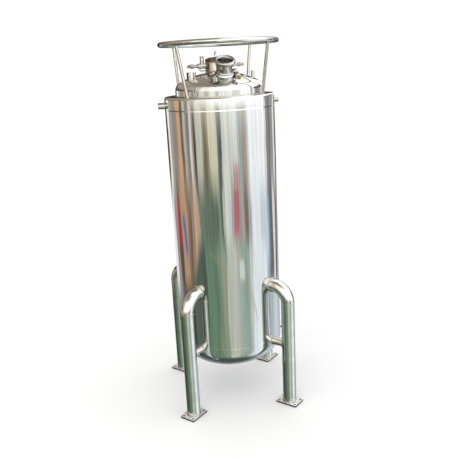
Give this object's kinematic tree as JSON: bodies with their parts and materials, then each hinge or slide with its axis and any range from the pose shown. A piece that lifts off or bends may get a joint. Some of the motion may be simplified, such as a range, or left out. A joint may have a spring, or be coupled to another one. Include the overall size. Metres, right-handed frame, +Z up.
{
  "type": "vertical storage tank",
  "caption": "Upright jacketed stainless tank on legs, with a domed top, an open clamped neck, small valve fittings and a guard ring.",
  "frame": {"origin": "on the floor under the tank's axis, the centre of the footprint", "axes": "+Z up along the tank's axis; -Y is the front, the side of the open neck; +X is the right, the side of the low nozzle"},
  "size_m": [0.6124, 0.6124, 1.7274],
  "materials": {
    "polished_steel": "mirror-polished stainless steel with a slight haze",
    "fitting_steel": "polished stainless steel with weld marks",
    "brass": "turned brass",
    "bronze": "cast bronze",
    "gasket": "off-white silicone"
  },
  "bodies": {
    "root": {"crown_arm_left": "fitting_steel", "crown_arm_right": "fitting_steel", "crown_arm_tube": "fitting_steel", "crown_body": "fitting_steel", "crown_cap": "fitting_steel", "crown_cap_tube": "fitting_steel", "crown_stem": "fitting_steel", "crown_stem_foot": "fitting_steel", "crown_tip_left": "brass", "crown_tip_right": "brass", "dome_socket": "fitting_steel", "dome_stub": "fitting_steel", "foot_plate_back_left": "fitting_steel", "foot_plate_back_right": "fitting_steel", "foot_plate_front_left": "fitting_steel", "foot_plate_front_right": "fitting_steel", "guard_post_back_left": "fitting_steel", "guard_post_back_right": "fitting_steel", "guard_post_front_left": "fitting_steel", "guard_post_front_right": "fitting_steel", "guard_ring": "polished_steel", "jacket_bottom_head": "polished_steel", "jacket_closing_ring": "polished_steel", "jacket_nozzle_left": "fitting_steel", "jacket_nozzle_low": "fitting_steel", "jacket_nozzle_right": "fitting_steel", "jacket_shell": "polished_steel", "leg_brace_back_left": "fitting_steel", "leg_brace_back_right": "fitting_steel", "leg_brace_front_left": "fitting_steel", "leg_brace_front_right": "fitting_steel", "leg_elbow_back_left": "polished_steel", "leg_elbow_back_right": "polished_steel", "leg_elbow_front_left": "polished_steel", "leg_elbow_front_right": "polished_steel", "leg_post_back_left": "polished_steel", "leg_post_back_right": "polished_steel", "leg_post_front_left": "polished_steel", "leg_post_front_right": "polished_steel", "port_bolt_left": "fitting_steel", "port_bolt_right": "fitting_steel", "port_clamp_back": "fitting_steel", "port_clamp_front": "fitting_steel", "port_gasket": "gasket", "port_neck": "fitting_steel", "port_nut_left": "bronze", "port_nut_right": "bronze", "port_upper_neck": "polished_steel", "vessel_bottom_head": "polished_steel", "vessel_dome": "polished_steel", "vessel_shell": "polished_steel"}
  },
  "joints": []
}
